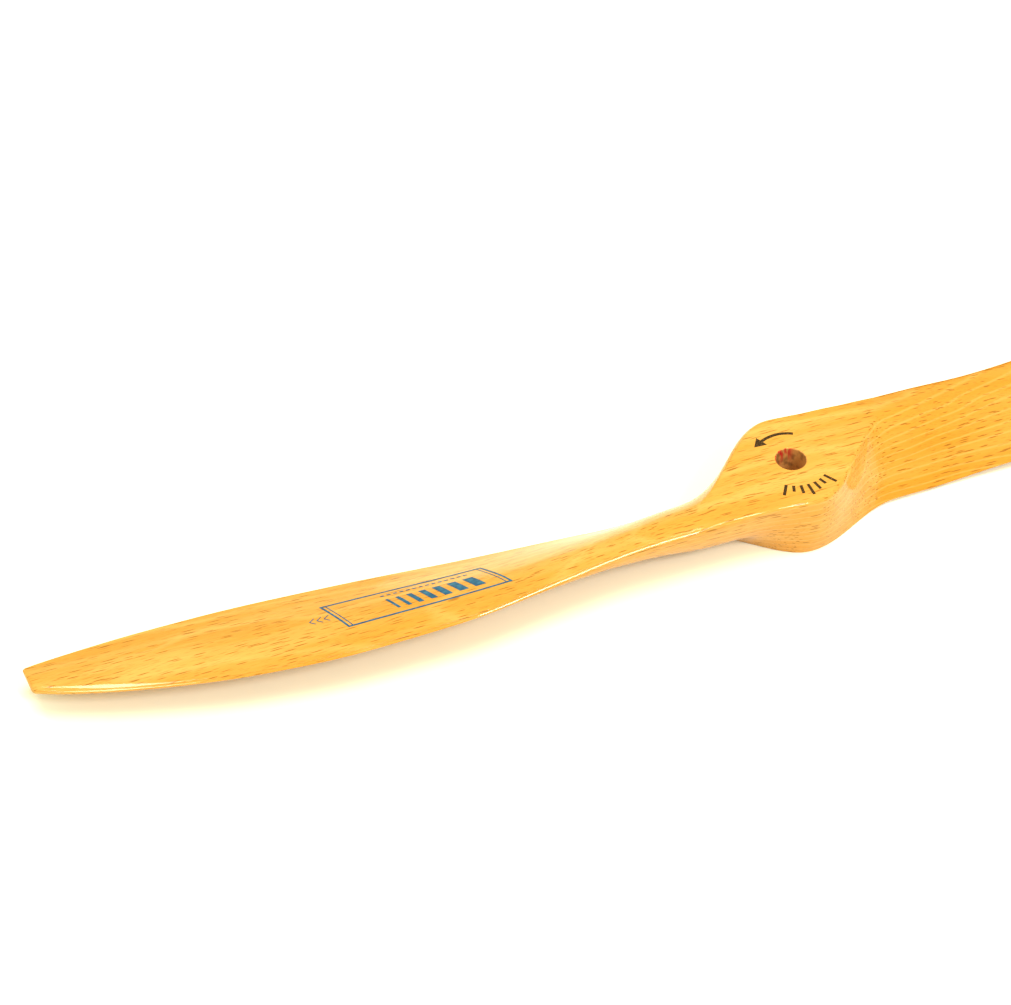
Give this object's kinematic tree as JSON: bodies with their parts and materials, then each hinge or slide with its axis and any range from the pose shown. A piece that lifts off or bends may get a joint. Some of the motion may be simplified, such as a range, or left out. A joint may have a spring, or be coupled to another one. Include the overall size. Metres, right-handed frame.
{
  "type": "model aircraft propeller",
  "caption": "Carved wooden propeller with twisted blades, a drilled hub and a printed transfer on each blade, for a large radio-controlled aeroplane.",
  "frame": {"origin": "on the bore's axis at the flat back face of the hub, which the propeller lies on", "axes": "+Z along the bore towards the front face and the thrust, +X out along one blade, +Y towards that blade's leading edge"},
  "size_m": [0.4826, 0.0528, 0.022],
  "materials": {
    "lacquered_beech": "gloss",
    "printed_film": "gloss"
  },
  "bodies": {
    "root": {"propeller_body": "lacquered_beech", "blade_transfer_1": "printed_film", "blade_transfer_2": "printed_film"}
  },
  "joints": []
}
